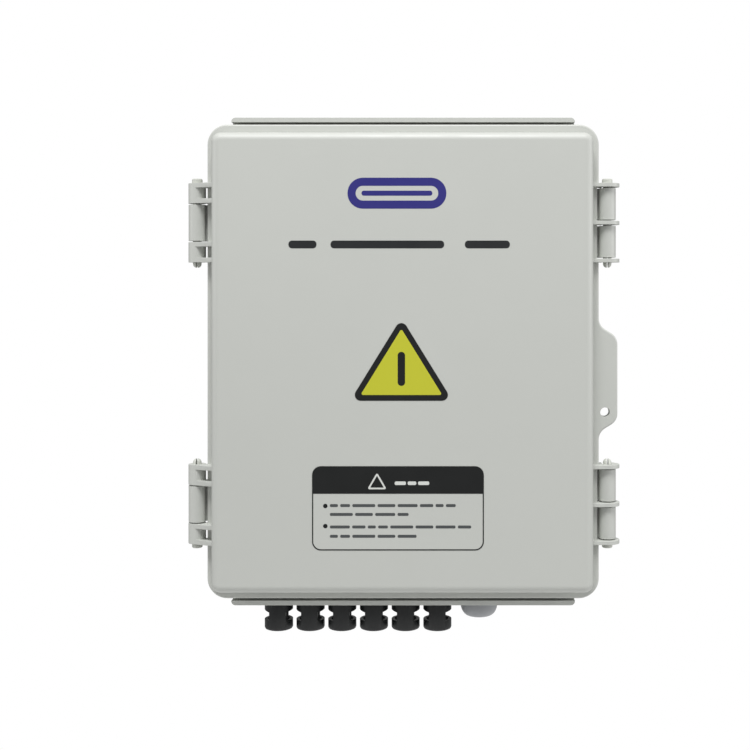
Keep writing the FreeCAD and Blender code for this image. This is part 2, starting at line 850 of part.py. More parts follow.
def make_plate_and_rails():
    plate = block(
        "plate_blank",
        ("-plate_width / 2", "-plate_front", "-plate_height / 2"),
        ("plate_width / 2", "-plate_back", "plate_height / 2"),
    )
    holes = []
    plate_screws = []
    for number, (x, z) in enumerate(corner_places("boss_side", "boss_height")):
        holes.append(rod(f"plate_hole_{number}", (x, "-plate_front - 1", z), "plate_screw_hole", "4", "Y"))
        plate_screws.append(screw_forward(
            f"plate_screw_{number}",
            x,
            z,
            "plate_front",
            "plate_screw",
            "plate_screw_head",
            "plate_head_height",
            "plate_screw_length",
        ))
    rail_screws = []
    for rail in ("upper_rail", "lower_rail"):
        rail_holes = []
        web = "plate_front + rail_metal"
        for number, sign in enumerate((-1, 1)):
            spot = (f"{sign} * rail_screw_side", "-plate_front - 3", rail)
            rail_holes.append(rod(f"{rail}_hole_{number}", spot, "rail_screw_hole", "4", "Y"))
            holes.append(rod(f"{rail}_plate_hole_{number}", spot, "rail_screw_hole", "8", "Y"))
            rail_screws.append(screw_forward(
                f"{rail}_screw_{number}",
                f"{sign} * rail_screw_side",
                rail,
                web,
                "rail_screw",
                "rail_screw_head",
                "2.8",
                "6",
            ))
        section = [
            ("-rail_face", "rail_width / 2"),
            ("-rail_face + rail_metal", "rail_width / 2"),
            ("-rail_face + rail_metal", "rail_crown / 2"),
            ("-plate_front", "rail_crown / 2"),
            ("-plate_front", "-rail_crown / 2"),
            ("-rail_face + rail_metal", "-rail_crown / 2"),
            ("-rail_face + rail_metal", "-rail_width / 2"),
            ("-rail_face", "-rail_width / 2"),
            ("-rail_face", "-rail_crown / 2 + rail_metal"),
            ("-plate_front - rail_metal", "-rail_crown / 2 + rail_metal"),
            ("-plate_front - rail_metal", "rail_crown / 2 - rail_metal"),
            ("-rail_face", "rail_crown / 2 - rail_metal"),
        ]
        strip = slab(f"{rail}_strip", "YZ_Plane", section, "rail_length", ("-rail_length / 2", 0, rail))
        name = rail.replace("_rail", "_din_rail")
        node(name, cut(f"{name}_cut", strip, *rail_holes))
    node("mounting_plate", cut("plate_drilled", plate, *holes))
    node("plate_screws", group("plate_screw_set", plate_screws))
    node("rail_screws", group("rail_screw_set", rail_screws))


# ---------------------------------------------------------------- modular devices
def module_outline(half, shoulder, nose, nose_low, nose_high):
    """The side outline of a device that clips on a rail: depth runs to the front, which is -Y."""
    return [
        ("-foot_back", "-foot_grip"),
        ("-foot_slot", "-foot_grip"),
        ("-foot_slot", "-foot_clear"),
        (0, "-foot_clear"),
        (0, "foot_clear"),
        ("-foot_slot", "foot_clear"),
        ("-foot_slot", "foot_grip"),
        ("-foot_back", "foot_grip"),
        ("-foot_back", half),
        (f"-({shoulder})", half),
        (f"-({shoulder})", nose_high),
        (f"-({nose})", nose_high),
        (f"-({nose})", nose_low),
        (f"-({shoulder})", nose_low),
        (f"-({shoulder})", f"-({half})"),
        ("-foot_back", f"-({half})"),
    ]


def ahead(distance):
    """The Y place of a point that lies a distance in front of a rail's face."""
    return f"-rail_face - ({distance})"


terminal_screws = []


def terminal(name, x, rail, side):
    """The wire hole and screwdriver hole of a terminal at the top or bottom of a device."""
    outer = f"{rail} + {side} * module_half"
    inner = f"{rail} + {side} * terminal_inner"
    low = inner if side > 0 else f"{outer} - 1"
    entry = (x, ahead("terminal_depth"), low)
    wire = rod(f"{name}_wire", entry, "terminal_hole", "module_half - terminal_inner + 1")
    z = f"{rail} + {side} * terminal_height"
    spot = (x, ahead("module_shoulder + 1"), z)
    driver = rod(f"{name}_driver", spot, "driver_hole", "module_shoulder + 1 - terminal_depth", "Y")
    terminal_screws.append(screw_forward(
        f"{name}_screw",
        x,
        z,
        "rail_face + screw_top - 2.5",
        "screw_radius - 0.7",
        "screw_radius",
        "2.5",
        "screw_top - 2.5 - driver_depth",
    ))
    return [wire, driver]


def make_fuse_way(number):
    """One fuse holder with its tilt-out drawer and the fuse link that rides in the drawer."""
    left = f"first_holder + {number - 1} * module_pitch"
    middle = f"{left} + module_width / 2"
    rail = "lower_rail"
    stem = f"way_{number}"
    outline = module_outline("module_half", "module_shoulder", "module_nose", "nose_bottom", "nose_top")
    case = slab(f"{stem}_case", "YZ_Plane", outline, "module_width", (left, "-rail_face", rail))
    cavity = block(
        f"{stem}_cavity",
        (f"{left} + drawer_wall", ahead("module_nose + 1"), f"{rail} + cavity_low"),
        (f"{left} + module_width - drawer_wall", ahead("cavity_back"), f"{rail} + cavity_high"),
    )
    pivot_y = ahead("pivot_forward")
    pivot_z = f"{rail} + pivot_height"
    reach = "drawer_width / 2 + trunnion_reach"
    trunnion_hole = rod(
        f"{stem}_trunnion_hole",
        (f"{middle} - ({reach}) - 0.2", pivot_y, pivot_z),
        "trunnion_hole",
        f"2 * ({reach}) + 0.4",
        "X",
    )
    tools = [cavity, trunnion_hole]
    tools += terminal(f"{stem}_top", middle, rail, 1) + terminal(f"{stem}_bottom", middle, rail, -1)
    node(f"fuse_holder_{number}", cut(f"{stem}_holder", case, *tools))

    side = slab(
        f"{stem}_drawer_side",
        "YZ_Plane",
        [
            ("-drawer_back", "drawer_low"),
            ("-drawer_back", "drawer_slope"),
            ("-module_nose", "drawer_high"),
            ("-module_nose", "grip_high"),
            ("-grip_front", "grip_high"),
            ("-grip_front", "grip_low + 2"),
            ("-module_nose", "grip_low"),
            ("-module_nose", "drawer_low"),
        ],
        "drawer_width",
        (f"{middle} - drawer_width / 2", "-rail_face", rail),
    )
    stub = (f"{middle} - ({reach})", pivot_y, pivot_z)
    trunnions = rod(f"{stem}_trunnions", stub, "trunnion", f"2 * ({reach})", "X")
    bore_spot = (middle, ahead("fuse_forward"), f"{rail} + fuse_low")
    bore = rod(f"{stem}_fuse_bore", bore_spot, "fuse_bore", "2 * fuse_length")
    node(f"fuse_drawer_{number}", cut(f"{stem}_drawer", join(f"{stem}_drawer_blank", side, trunnions), bore))

    ends = "fuse_length - ferrule_length"
    fuse = turned(
        f"{stem}_fuse",
        [
            (0, 0.1),
            ("fuse_radius", 0.1),
            ("fuse_radius", "ferrule_length"),
            ("fuse_barrel", "ferrule_length"),
            ("fuse_barrel", ends),
            ("fuse_radius", ends),
            ("fuse_radius", "fuse_length"),
            (0, "fuse_length"),
        ],
        bore_spot,
    )
    node(f"fuse_link_{number}", fuse)


def make_breaker():
    """A two-pole breaker whose poles share one lever."""
    rail = "upper_rail"
    width = "module_pitch + module_width"
    nose = ("module_nose", "-breaker_nose_half", "breaker_nose_half")
    outline = module_outline("module_half", "module_shoulder", *nose)
    case = slab("breaker_block", "YZ_Plane", outline, width, ("breaker_left", "-rail_face", rail))
    hub_y = ahead("lever_forward")
    inset = "breaker_left + lever_margin"
    inner_width = f"{width} - 2 * lever_margin"
    well = rod("lever_well_cut", (inset, hub_y, rail), "lever_well", inner_width, "X")
    tools = [well]
    for pole in (0, 1):
        middle = f"breaker_left + module_width / 2 + {pole} * module_pitch"
        tools += terminal(f"pole_{pole}_top", middle, rail, 1)
        tools += terminal(f"pole_{pole}_bottom", middle, rail, -1)
    node("breaker_case", cut("breaker_cut", case, *tools))

    start = f"{inset} + cartridge_gap"
    length = f"{inner_width} - 2 * cartridge_gap"
    hub = rod("lever_drum", (start, hub_y, rail), "lever_hub", length, "X")
    lift = math.radians(size_of("lever_lift"))
    sine, cosine = f"{math.sin(lift):.5f}", f"{math.cos(lift):.5f}"
    reach = "(lever_reach - lever_forward)"

    def blade(out, aside):
        """A corner of the paddle, out along it and aside from its middle line."""
        return f"-({out} * {cosine} - {aside} * {sine})", f"{out} * {sine} + {aside} * {cosine}"

    root = "(lever_thickness / 2)"
    tip = "(lever_thickness / 3)"
    corners = [
        blade("lever_foot", root),
        blade("lever_foot", f"(-{root})"),
        blade(reach, f"(-{tip})"),
        blade(reach, tip),
    ]
    paddle = slab("lever_paddle", "YZ_Plane", corners, length, (start, hub_y, rail))
    node("breaker_lever", join("lever_joined", hub, paddle))


def make_surge_protector():
    """A three-pole base with a pull-out cartridge in each pole."""
    rail = "upper_rail"
    width = "2 * module_pitch + module_width"
    well = ("cartridge_back", "-cartridge_half", "cartridge_half")
    outline = module_outline("module_half", "module_shoulder", *well)
    case = slab("surge_block", "YZ_Plane", outline, width, ("surge_left", "-rail_face", rail))
    tools = []
    for pole in range(3):
        left = f"surge_left + {pole} * module_pitch"
        middle = f"{left} + module_width / 2"
        tools += terminal(f"surge_{pole}_bottom", middle, rail, -1)
        case_part = block(
            f"cartridge_{pole}_case",
            (f"{left} + cartridge_gap", ahead("cartridge_front"), f"{rail} - cartridge_half + cartridge_gap"),
            (
                f"{left} + module_width - cartridge_gap",
                ahead("cartridge_back + cartridge_gap"),
                f"{rail} + cartridge_half - cartridge_gap",
            ),
        )
        grip = block(
            f"cartridge_{pole}_grip",
            (f"{left} + grip_margin", ahead("cartridge_front + cartridge_grip"), f"{rail} - grip_bottom"),
            (
                f"{left} + module_width - grip_margin",
                ahead("cartridge_front - grip_seat"),
                f"{rail} - grip_top",
            ),
        )
        blades = []
        for end in (-1, 1):
            height = f"{rail} + {end} * blade_height"
            slot = ("blade_thickness + 2 * blade_play", "blade_width + 2 * blade_play", "blade_play")
            spread = (("blade_thickness", "blade_width", "0"), slot)
            for fit, (thick, wide, extra) in enumerate(spread):
                shape = block(
                    f"cartridge_{pole}_blade_{end + 1}_{fit}",
                    (
                        f"{middle} - ({thick}) / 2",
                        ahead("cartridge_back + 1"),
                        f"{height} - ({wide}) / 2",
                    ),
                    (
                        f"{middle} + ({thick}) / 2",
                        ahead(f"cartridge_back - blade_length - {extra}"),
                        f"{height} + ({wide}) / 2",
                    ),
                )
                (blades if fit == 0 else tools).append(shape)
        node(f"surge_cartridge_{pole + 1}", join(f"cartridge_{pole}", case_part, grip, *blades))
    node("surge_base", cut("surge_cut", case, *tools))


def make_end_stops():
    """Screwed stops that keep each row of devices from sliding along its rail."""
    nose = ("-stop_nose_half", "stop_nose_half")
    outline = module_outline("stop_half", "stop_nose", "stop_nose + stop_nose_rise", *nose)
    places = [
        ("lower_rail", "first_holder - stop_width - stop_gap"),
        ("lower_rail", "first_holder + 6 * module_pitch"),
        ("upper_rail", "breaker_left - stop_width - stop_gap"),
        ("upper_rail", "surge_left + 3 * module_pitch"),
    ]
    stops = [
        slab(f"stop_{number}", "YZ_Plane", outline, "stop_width", (left, "-rail_face", rail))
        for number, (rail, left) in enumerate(places)
    ]
    node("rail_end_stops", group("stop_set", stops))


# ---------------------------------------------------------------- copper, brass and leads
def make_combs():
    """Flat copper combs that join the top terminals of three fuse holders each."""
    for name, first in (("positive", 0), ("negative", 3)):
        middles = [f"first_holder + {first + way} * module_pitch + module_width / 2" for way in range(3)]
        near = ahead("terminal_depth + comb_thickness / 2")
        far = ahead("terminal_depth - comb_thickness / 2")
        strip = block(
            f"{name}_strip",
            (f"{middles[0]} - comb_tail", near, "lower_rail + comb_low"),
            (f"{middles[2]} + comb_tail", far, "lower_rail + comb_high"),
        )
        prongs = [
            block(
                f"{name}_prong_{way}",
                (f"{middle} - prong_width / 2", near, "lower_rail + prong_low"),
                (f"{middle} + prong_width / 2", far, "lower_rail + comb_low + 1"),
            )
            for way, middle in enumerate(middles)
        ]
        node(f"comb_bar_{name}", join(f"{name}_comb", strip, *prongs))


def make_earth_bar():
    """A brass bar on two posts, with wire holes from above and a clamping screw over each."""
    bar = block(
        "earth_blank",
        ("earth_left", "-earth_front", "earth_low"),
        ("earth_left + earth_length", "-earth_back", "earth_high"),
    )
    middle = "(earth_low + earth_high) / 2"
    posts = [
        rod(f"earth_post_{end}", (f"earth_left + {offset}", "-earth_back - 1", middle), "earth_post",
            "earth_back - plate_front + 1", "Y")
        for end, offset in enumerate(("earth_end", "earth_length - earth_end"))
    ]
    ways = [f"earth_left + earth_first_wire + {way} * earth_pitch" for way in range(4)]
    wells = [
        rod(f"earth_wire_{way}", (x, "-earth_front + earth_wire_inset", "earth_low + earth_floor"),
            "earth_hole", "earth_high")
        for way, x in enumerate(ways)
    ]
    screw_holes = []
    screw_level = "earth_low + earth_screw_height"
    for way, x in enumerate(ways):
        spot = (x, "-earth_front - 1", screw_level)
        screw_holes.append(rod(f"earth_screw_hole_{way}", spot, "earth_screw_hole", "earth_floor", "Y"))
        terminal_screws.append(screw_forward(
            f"earth_screw_{way}",
            x,
            screw_level,
            "earth_front + 0.1",
            "earth_screw",
            "earth_screw_head",
            "earth_head_height",
            "earth_screw_length",
        ))
    node("earth_bar", cut("earth_cut", join("earth_joined", bar, *posts), *wells, *screw_holes))


def lead_shape(points, radius):
    """A round lead along straight runs joined by tangent arcs as large as the runs allow."""
    edges = []
    start = points[0]
    share = 0.45
    for before, corner, after in zip(points, points[1:], points[2:]):
        arrive = (corner - before).normalize()
        leave = (after - corner).normalize()
        trim = share * min((corner - before).Length, (after - corner).Length)
        turn = arrive.getAngle(leave)
        bend = trim / math.tan(turn / 2)
        first = corner - arrive * trim
        last = corner + leave * trim
        inward = (leave - arrive).normalize()
        centre = corner + inward * (bend / math.cos(turn / 2))
        top = centre - inward * bend
        edges.append(Part.LineSegment(start, first).toShape())
        edges.append(Part.Arc(first, top, last).toShape())
        start = last
    edges.append(Part.LineSegment(start, points[-1]).toShape())
    path = Part.Wire(edges)
    section = Part.Wire(Part.Circle(points[0], points[1] - points[0], radius).toShape())
    solid = path.makePipeShell([section], True, False)
    expected = math.pi * radius**2 * path.Length
    if abs(solid.Volume - expected) > 0.01 * expected:
        raise ValueError(f"a lead holds {solid.Volume:.1f} mm3 instead of {expected:.1f} mm3")
    return solid


def lead_node(name, routes, radius):
    """One or more leads of the same colour."""
    shape = Part.makeCompound([lead_shape(route, radius) for route in routes])
    feature = doc.addObject("Part::Feature", name)
    feature.Shape = shape if len(routes) > 1 else shape.Solids[0]
    node(name, feature)


def make_leads():
    rail_face = size_of("rail_face")
    wire_y = -rail_face - size_of("terminal_depth")
    lower_rail = size_of("lower_rail")
    upper_rail = size_of("upper_rail")
    half = size_of("module_half")
    pitch = size_of("module_pitch")
    half_module = size_of("module_width") / 2
    sunk, straight, bow = 8, 16, 7
    middles = [size_of("first_holder") + pitch * way + half_module for way in range(6)]
    start_z = -size_of("lead_exit")
    entry_z = lower_rail - half
    gland_y = -size_of("connector_depth")
    routes = []
    for way, x in enumerate(middles):
        connector_x = size_of("first_connector") + way * size_of("connector_pitch")
        routes.append([
            Vector(connector_x, gland_y, start_z),
            Vector(connector_x, gland_y, start_z + straight),
            Vector(x, wire_y, entry_z - straight),
            Vector(x, wire_y, entry_z + sunk),
        ])
    radius = size_of("lead_radius")
    lead_node("string_leads_positive", routes[:3], radius)
    lead_node("string_leads_negative", routes[3:], radius)

    comb_top = lower_rail + size_of("comb_high")
    upper_entry = upper_rail - half
    poles = [size_of("breaker_left") + half_module + pitch * pole for pole in (0, 1)]
    surge = [size_of("surge_left") + half_module + pitch * pole for pole in range(3)]

    def rise(x_from, x_to, bow):
        """From a comb's top edge up into a terminal, bowed towards the lid."""
        span = upper_entry - comb_top
        return [
            Vector(x_from, wire_y, comb_top),
            Vector(x_from, wire_y, comb_top + span * 0.2),
            Vector((x_from + x_to) / 2, wire_y - bow, comb_top + span * 0.5),
            Vector(x_to, wire_y, comb_top + span * 0.8),
            Vector(x_to, wire_y, upper_entry + sunk),
        ]

    positive_surge = [
        Vector(middles[1], wire_y, comb_top),
        Vector(middles[1], wire_y, comb_top + 6),
        Vector(middles[1] + 10, wire_y - 17, comb_top + 13),
        Vector(surge[0] - 12, wire_y - 17, comb_top + 17),
        Vector(surge[0], wire_y, upper_entry - 7),
        Vector(surge[0], wire_y, upper_entry + sunk),
    ]
    positive_routes = [rise(middles[2], poles[0], bow), positive_surge]
    lead_node("feed_leads_positive", positive_routes, size_of("feed_radius"))
    negative_routes = [rise(middles[3], poles[1], bow), rise(middles[5], surge[1], bow - 1)]
    lead_node("feed_leads_negative", negative_routes, size_of("feed_radius"))

    bar_x = size_of("earth_left") + size_of("earth_first_wire")
    bar_y = -size_of("earth_front") + size_of("earth_wire_inset")
    bar_top = size_of("earth_high")
    lead_node(
        "earth_lead",
        [[
            Vector(surge[2], wire_y, upper_entry + sunk),
            Vector(surge[2], wire_y, upper_entry - 9),
            Vector((surge[2] + bar_x) / 2, (wire_y + bar_y) / 2 - 4, bar_top + 11),
            Vector(bar_x, bar_y, bar_top + 13),
            Vector(bar_x, bar_y, bar_top - 6),
        ]],
        radius,
    )


# ---------------------------------------------------------------- connectors and gland
UNDER = "-base_height / 2"


def make_connectors():
    """Six panel receptacles for string plugs: a shell with side notches round a contact pin."""
    contacts = []
    seals = []
    nuts = []
    for number in range(6):
        x = f"first_connector + {number} * connector_pitch"
        spot = (x, "-connector_depth", UNDER)
        stem = f"connector_{number}"
        shell = turned(
            f"{stem}_shell",
            [
                ("contact_root + 0.05", "connector_inner"),
                ("connector_thread", "connector_inner"),
                ("connector_thread", "-seal_thickness"),
                ("collar_radius", "-seal_thickness"),
                ("collar_radius", "-collar_end + 0.8"),
                ("collar_radius - 0.8", "-collar_end"),
                ("waist_radius", "-collar_end"),
                ("waist_radius", "-waist_end"),
                ("shell_radius", "-waist_end - 1.2"),
                ("shell_radius", "-shell_end + shell_rounding"),
                ("shell_radius - shell_rounding * 0.3", "-shell_end + shell_rounding * 0.3"),
                ("shell_radius - shell_rounding", "-shell_end"),
                ("socket_radius", "-shell_end"),
                ("socket_radius", "-socket_top"),
                ("contact_root + 0.05", "-socket_top"),
            ],
            spot,
        )
        notches = [
            slab(
                f"{stem}_notch_{side + 1}",
                "XZ_Plane",
                [
                    (f"{side} * (shell_radius + 1)", "-notch_top"),
                    (f"{side} * notch_half", "-notch_slope"),
                    (f"{side} * notch_half", "-notch_end"),
                    (f"{side} * (shell_radius + 1)", "-notch_end"),
                ],
                "2 * shell_radius + 2",
                (x, "-connector_depth + shell_radius + 1", UNDER),
            )
            for side in (-1, 1)
        ]
        node(f"string_connector_{number + 1}", cut(f"{stem}_cut", shell, *notches))
        contacts.append(turned(
            f"{stem}_contact",
            [
                (0, "connector_inner"),
                ("contact_root", "connector_inner"),
                ("contact_root", "-socket_top - 0.2"),
                ("contact_radius", "-socket_top - 0.2"),
                ("contact_radius", "-contact_end + 1"),
                ("contact_radius - 1", "-contact_end"),
                (0, "-contact_end"),
            ],
            spot,
        ))
        below = (x, "-connector_depth", f"{UNDER} - seal_thickness")
        ring = rod(f"{stem}_seal_blank", below, "seal_radius", "seal_thickness")
        seal_hole = rod(f"{stem}_seal_hole", below, "connector_thread", "seal_thickness")
        seals.append(cut(f"{stem}_seal", ring, seal_hole))
        above = (x, "-connector_depth", f"{UNDER} + base_wall")
        nut = hexagon(f"{stem}_nut_blank", above, "nut_radius", "nut_height")
        nut_hole = rod(f"{stem}_nut_hole", above, "connector_thread", "nut_height")
        nuts.append(cut(f"{stem}_nut", nut, nut_hole))
    node("connector_contacts", group("contact_set", contacts))
    node("connector_seals", group("seal_set", seals))
    node("connector_nuts", group("nut_set", nuts))


def make_gland():
    """A gland for the output cable: the domed cap squeezes a rubber seal round the cable."""
    spot = ("gland_side", "-connector_depth", UNDER)
    stem = turned(
        "gland_stem",
        [
            ("gland_bore", "gland_inner"),
            ("gland_thread", "gland_inner"),
            ("gland_thread", "-gland_thread_end"),
            ("gland_bore", "-gland_thread_end"),
        ],
        spot,
    )
    below = ("gland_side", "-connector_depth", f"{UNDER} - gland_hex_height")
    flats = hexagon("gland_flats", below, "gland_hex", "gland_hex_height")
    clear = rod("gland_clear", below, "gland_bore", "gland_hex_height")
    node("gland_body", join("gland_joined", stem, cut("gland_flange", flats, clear)))

    steps = 8
    corner = [
        (
            f"cap_radius - (cap_radius - cap_mouth) * {1 - math.cos(math.pi / 2 * step / steps):.4f}",
            f"-cap_end + cap_dome * {1 - math.sin(math.pi / 2 * step / steps):.4f}",
        )
        for step in range(steps + 1)
    ]
    cap = turned(
        "gland_dome",
        [
            ("cap_inner", "-cap_top"),
            ("cap_radius", "-cap_top"),
            *corner,
            ("cap_mouth", "-cap_seat_end"),
            ("cap_seat", "-cap_seat_end"),
            ("cap_seat", "-cap_step"),
            ("cap_inner", "-cap_step"),
        ],
        spot,
    )
    node("gland_cap", cap)
    seal = turned(
        "gland_rubber",
        [
            ("cable_seal_inner", "-cap_step - 0.3"),
            ("cable_seal_outer", "-cap_step - 0.3"),
            ("cable_seal_outer", "-cap_seat_end + 0.3"),
            ("cable_seal_inner", "-cap_seat_end + 0.3"),
        ],
        spot,
    )
    node("gland_seal", seal)
    above = ("gland_side", "-connector_depth", f"{UNDER} + base_wall")
    nut = hexagon("gland_nut_blank", above, "gland_nut_radius", "nut_height")
    hole = rod("gland_nut_hole", above, "gland_thread", "nut_height")
    node("gland_locknut", cut("gland_nut", nut, hole))


def check_document():
    """Stop if any object failed, or if a sub-part isn't a valid solid."""
    for thing in doc.Objects:
        if "Invalid" in thing.State or "Error" in thing.State:
            raise RuntimeError(f"{thing.Name} failed: {thing.State}")
    for name, solid in nodes.items():
        if solid.Shape.isNull() or not solid.Shape.isValid() or not solid.Shape.Solids:
            raise RuntimeError(f"{name} is not a valid solid")


make_base()
make_lid()
make_labels()
make_pins()
make_plate_and_rails()
for way in range(1, 7):
    make_fuse_way(way)
make_breaker()
make_surge_protector()
make_end_stops()
make_combs()
make_earth_bar()
make_leads()
make_connectors()
make_gland()
node("terminal_screws", group("terminal_screw_set", terminal_screws))
doc.recompute()
check_document()

os.makedirs("parts", exist_ok=True)
for name, solid in nodes.items():
    solid.Shape.exportStep(f"parts/{name}.step")
    print(f"{name}: {len(solid.Shape.Solids)} solid(s), {solid.Shape.Volume:.0f} mm3")
print(f"{len(nodes)} nodes")
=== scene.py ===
import json
import math

import bmesh
import bpy
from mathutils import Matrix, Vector

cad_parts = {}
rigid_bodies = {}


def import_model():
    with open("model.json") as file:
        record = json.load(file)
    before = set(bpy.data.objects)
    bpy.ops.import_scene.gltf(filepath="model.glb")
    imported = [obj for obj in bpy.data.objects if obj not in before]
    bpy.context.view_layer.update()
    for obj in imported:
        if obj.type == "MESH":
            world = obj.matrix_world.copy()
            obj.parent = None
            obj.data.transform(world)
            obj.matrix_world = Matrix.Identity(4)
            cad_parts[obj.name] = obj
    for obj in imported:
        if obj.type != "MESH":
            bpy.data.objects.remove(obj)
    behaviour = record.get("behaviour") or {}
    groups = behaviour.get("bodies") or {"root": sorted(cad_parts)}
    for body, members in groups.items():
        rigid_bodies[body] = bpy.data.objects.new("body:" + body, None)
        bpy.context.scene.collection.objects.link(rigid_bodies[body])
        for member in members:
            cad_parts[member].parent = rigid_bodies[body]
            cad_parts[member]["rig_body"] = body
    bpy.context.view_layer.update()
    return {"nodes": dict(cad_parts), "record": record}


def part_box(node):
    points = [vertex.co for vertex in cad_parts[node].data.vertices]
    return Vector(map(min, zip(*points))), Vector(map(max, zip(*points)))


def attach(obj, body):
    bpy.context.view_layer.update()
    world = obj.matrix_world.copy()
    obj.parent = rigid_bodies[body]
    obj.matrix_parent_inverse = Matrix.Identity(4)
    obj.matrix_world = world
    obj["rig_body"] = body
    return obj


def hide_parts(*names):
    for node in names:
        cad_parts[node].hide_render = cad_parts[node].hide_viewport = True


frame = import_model()
NODES = frame["nodes"]
MM = 0.001

# ---------------------------------------------------------------- camera, light and floor
SENSOR = 36.0  # millimetres across
FRAME_PIXELS = 750
PLANE_Y = -0.1085  # the front of the lid's flange, where PLANE_SCALE holds
PLANE_SCALE = 0.69 * MM  # metres across one pixel
DISTANCE = 0.85
CAMERA_RIGHT = 0.036
SHIFT_X = -0.107
SHIFT_Y = -0.12
FRAME_DOWN = 0.0093  # how far the frame's middle lies below the origin
AMBIENT = 0.36
LIGHT_TARGET = (0, -0.1, 0)
KEY_POWER = 69
LEFT_POWER = 5
RIGHT_POWER = 9
FLOOR_RADIUS = 0.78
FLOOR_LEVEL = -0.62


def make_camera():
    """Level camera, right of and above the box's middle, with its window shifted back to frame the box."""
    data = bpy.data.cameras.new("camera")
    camera = bpy.data.objects.new("camera", data)
    bpy.context.scene.collection.objects.link(camera)
    data.sensor_width = SENSOR
    data.lens = SENSOR * DISTANCE / (FRAME_PIXELS * PLANE_SCALE)
    data.shift_x = SHIFT_X
    data.shift_y = SHIFT_Y
    up = -FRAME_DOWN - SHIFT_Y * FRAME_PIXELS * PLANE_SCALE
    camera.location = (CAMERA_RIGHT, PLANE_Y - DISTANCE, up)
    camera.rotation_euler = (math.pi / 2, 0, 0)
    bpy.context.scene.camera = camera


def area_light(name, place, size, power):
    data = bpy.data.lights.new(name, "AREA")
    data.shape = "DISK"
    data.size = size
    data.energy = power
    light = bpy.data.objects.new(name, data)
    light.location = place
    light.rotation_euler = (Vector(LIGHT_TARGET) - Vector(place)).to_track_quat("-Z", "Y").to_euler()
    bpy.context.scene.collection.objects.link(light)


def make_studio():
    """White surroundings, a dimmer even light from all round, a soft light from above and two side fills."""
    scene = bpy.context.scene
    scene.view_settings.view_transform = "Standard"
    scene.view_settings.look = "None"
    world = bpy.data.worlds.new("studio")
    scene.world = world
    world.use_nodes = True
    nodes, links = world.node_tree.nodes, world.node_tree.links
    ambient = nodes["Background"]
    ambient.inputs["Color"].default_value = (1, 1, 1, 1)
    ambient.inputs["Strength"].default_value = AMBIENT
    white = nodes.new("ShaderNodeBackground")
    white.inputs["Color"].default_value = (1, 1, 1, 1)
    choose = nodes.new("ShaderNodeMixShader")
    links.new(nodes.new("ShaderNodeLightPath").outputs["Is Camera Ray"], choose.inputs[0])
    links.new(ambient.outputs[0], choose.inputs[1])
    links.new(white.outputs[0], choose.inputs[2])
    links.new(choose.outputs[0], nodes["World Output"].inputs["Surface"])
    area_light("key_light", (-0.1, -1.25, 2.3), 1.2, KEY_POWER)
    area_light("left_fill", (-1.6, -0.5, 0.3), 0.8, LEFT_POWER)
    area_light("right_fill", (1.6, -0.5, 0.3), 0.8, RIGHT_POWER)
    bm = bmesh.new()
    bmesh.ops.create_circle(bm, cap_ends=True, segments=96, radius=FLOOR_RADIUS)
    for vert in bm.verts:
        vert.co.z = FLOOR_LEVEL
    floor = finished("studio_floor", bm, plain_floor())


def plain_floor():
    material, nodes, _ = blank("floor_paint")
    nodes["Principled BSDF"].inputs["Roughness"].default_value = 0.85
    tint(material, (0.86, 0.86, 0.86), 0.01, 3.0)
    return material


# ---------------------------------------------------------------- materials
def blank(name):
    material = bpy.data.materials.new(name)
    material.use_nodes = True
    return material, material.node_tree.nodes, material.node_tree.links


def noise(nodes, links, scale, detail, coordinates):
    texture = nodes.new("ShaderNodeTexNoise")
    texture.inputs["Scale"].default_value = scale
    texture.inputs["Detail"].default_value = detail
    links.new(coordinates, texture.inputs["Vector"])
    return texture.outputs["Fac"]


def object_space(nodes, links, stretch=None):
    """The piece's own coordinates, scaled along each axis where a stretch is given."""
    source = nodes.new("ShaderNodeTexCoord").outputs["Object"]
    if not stretch:
        return source
    mapping = nodes.new("ShaderNodeMapping")
    mapping.inputs["Scale"].default_value = stretch
    links.new(source, mapping.inputs["Vector"])
    return mapping.outputs["Vector"]


def tint(material, colour, spread, scale):
    """Base colour that drifts a little, lighter and darker, over the surface."""
    nodes, links = material.node_tree.nodes, material.node_tree.links
    blend = nodes.new("ShaderNodeMix")
    blend.data_type = "RGBA"
    blend.inputs[6].default_value = (*[c * (1 - spread) for c in colour], 1)
    blend.inputs[7].default_value = (*[min(1.0, c * (1 + spread)) for c in colour], 1)
    links.new(noise(nodes, links, scale, 3.0, object_space(nodes, links)), blend.inputs[0])
    links.new(blend.outputs[2], nodes["Principled BSDF"].inputs["Base Color"])


def roughen(material, low, high, scale, stretch=None):
    """Roughness that varies between two values, with an optional brushed direction."""
    nodes, links = material.node_tree.nodes, material.node_tree.links
    source = object_space(nodes, links, stretch)
    spread = nodes.new("ShaderNodeMapRange")
    spread.inputs["From Min"].default_value = 0.3
    spread.inputs["From Max"].default_value = 0.7
    spread.inputs["To Min"].default_value = low
    spread.inputs["To Max"].default_value = high
    links.new(noise(nodes, links, scale, 4.0, source), spread.inputs["Value"])
    links.new(spread.outputs["Result"], nodes["Principled BSDF"].inputs["Roughness"])


def grain(material, scale, depth, strength=1.0, stretch=None):
    """Fine relief: moulded texture, brushing or a foam skin."""
    nodes, links = material.node_tree.nodes, material.node_tree.links
    source = object_space(nodes, links, stretch)
    bump = nodes.new("ShaderNodeBump")
    bump.inputs["Distance"].default_value = depth
    bump.inputs["Strength"].default_value = strength
    links.new(noise(nodes, links, scale, 2.0, source), bump.inputs["Height"])
    links.new(bump.outputs["Normal"], nodes["Principled BSDF"].inputs["Normal"])


def srgb(red, green, blue):
    """A colour from 0 to 255 a channel, as the linear values that a shader takes."""
    return tuple(
        ((c / 255 + 0.055) / 1.055) ** 2.4 if c > 10 else c / 255 / 12.92
        for c in (red, green, blue)
    )


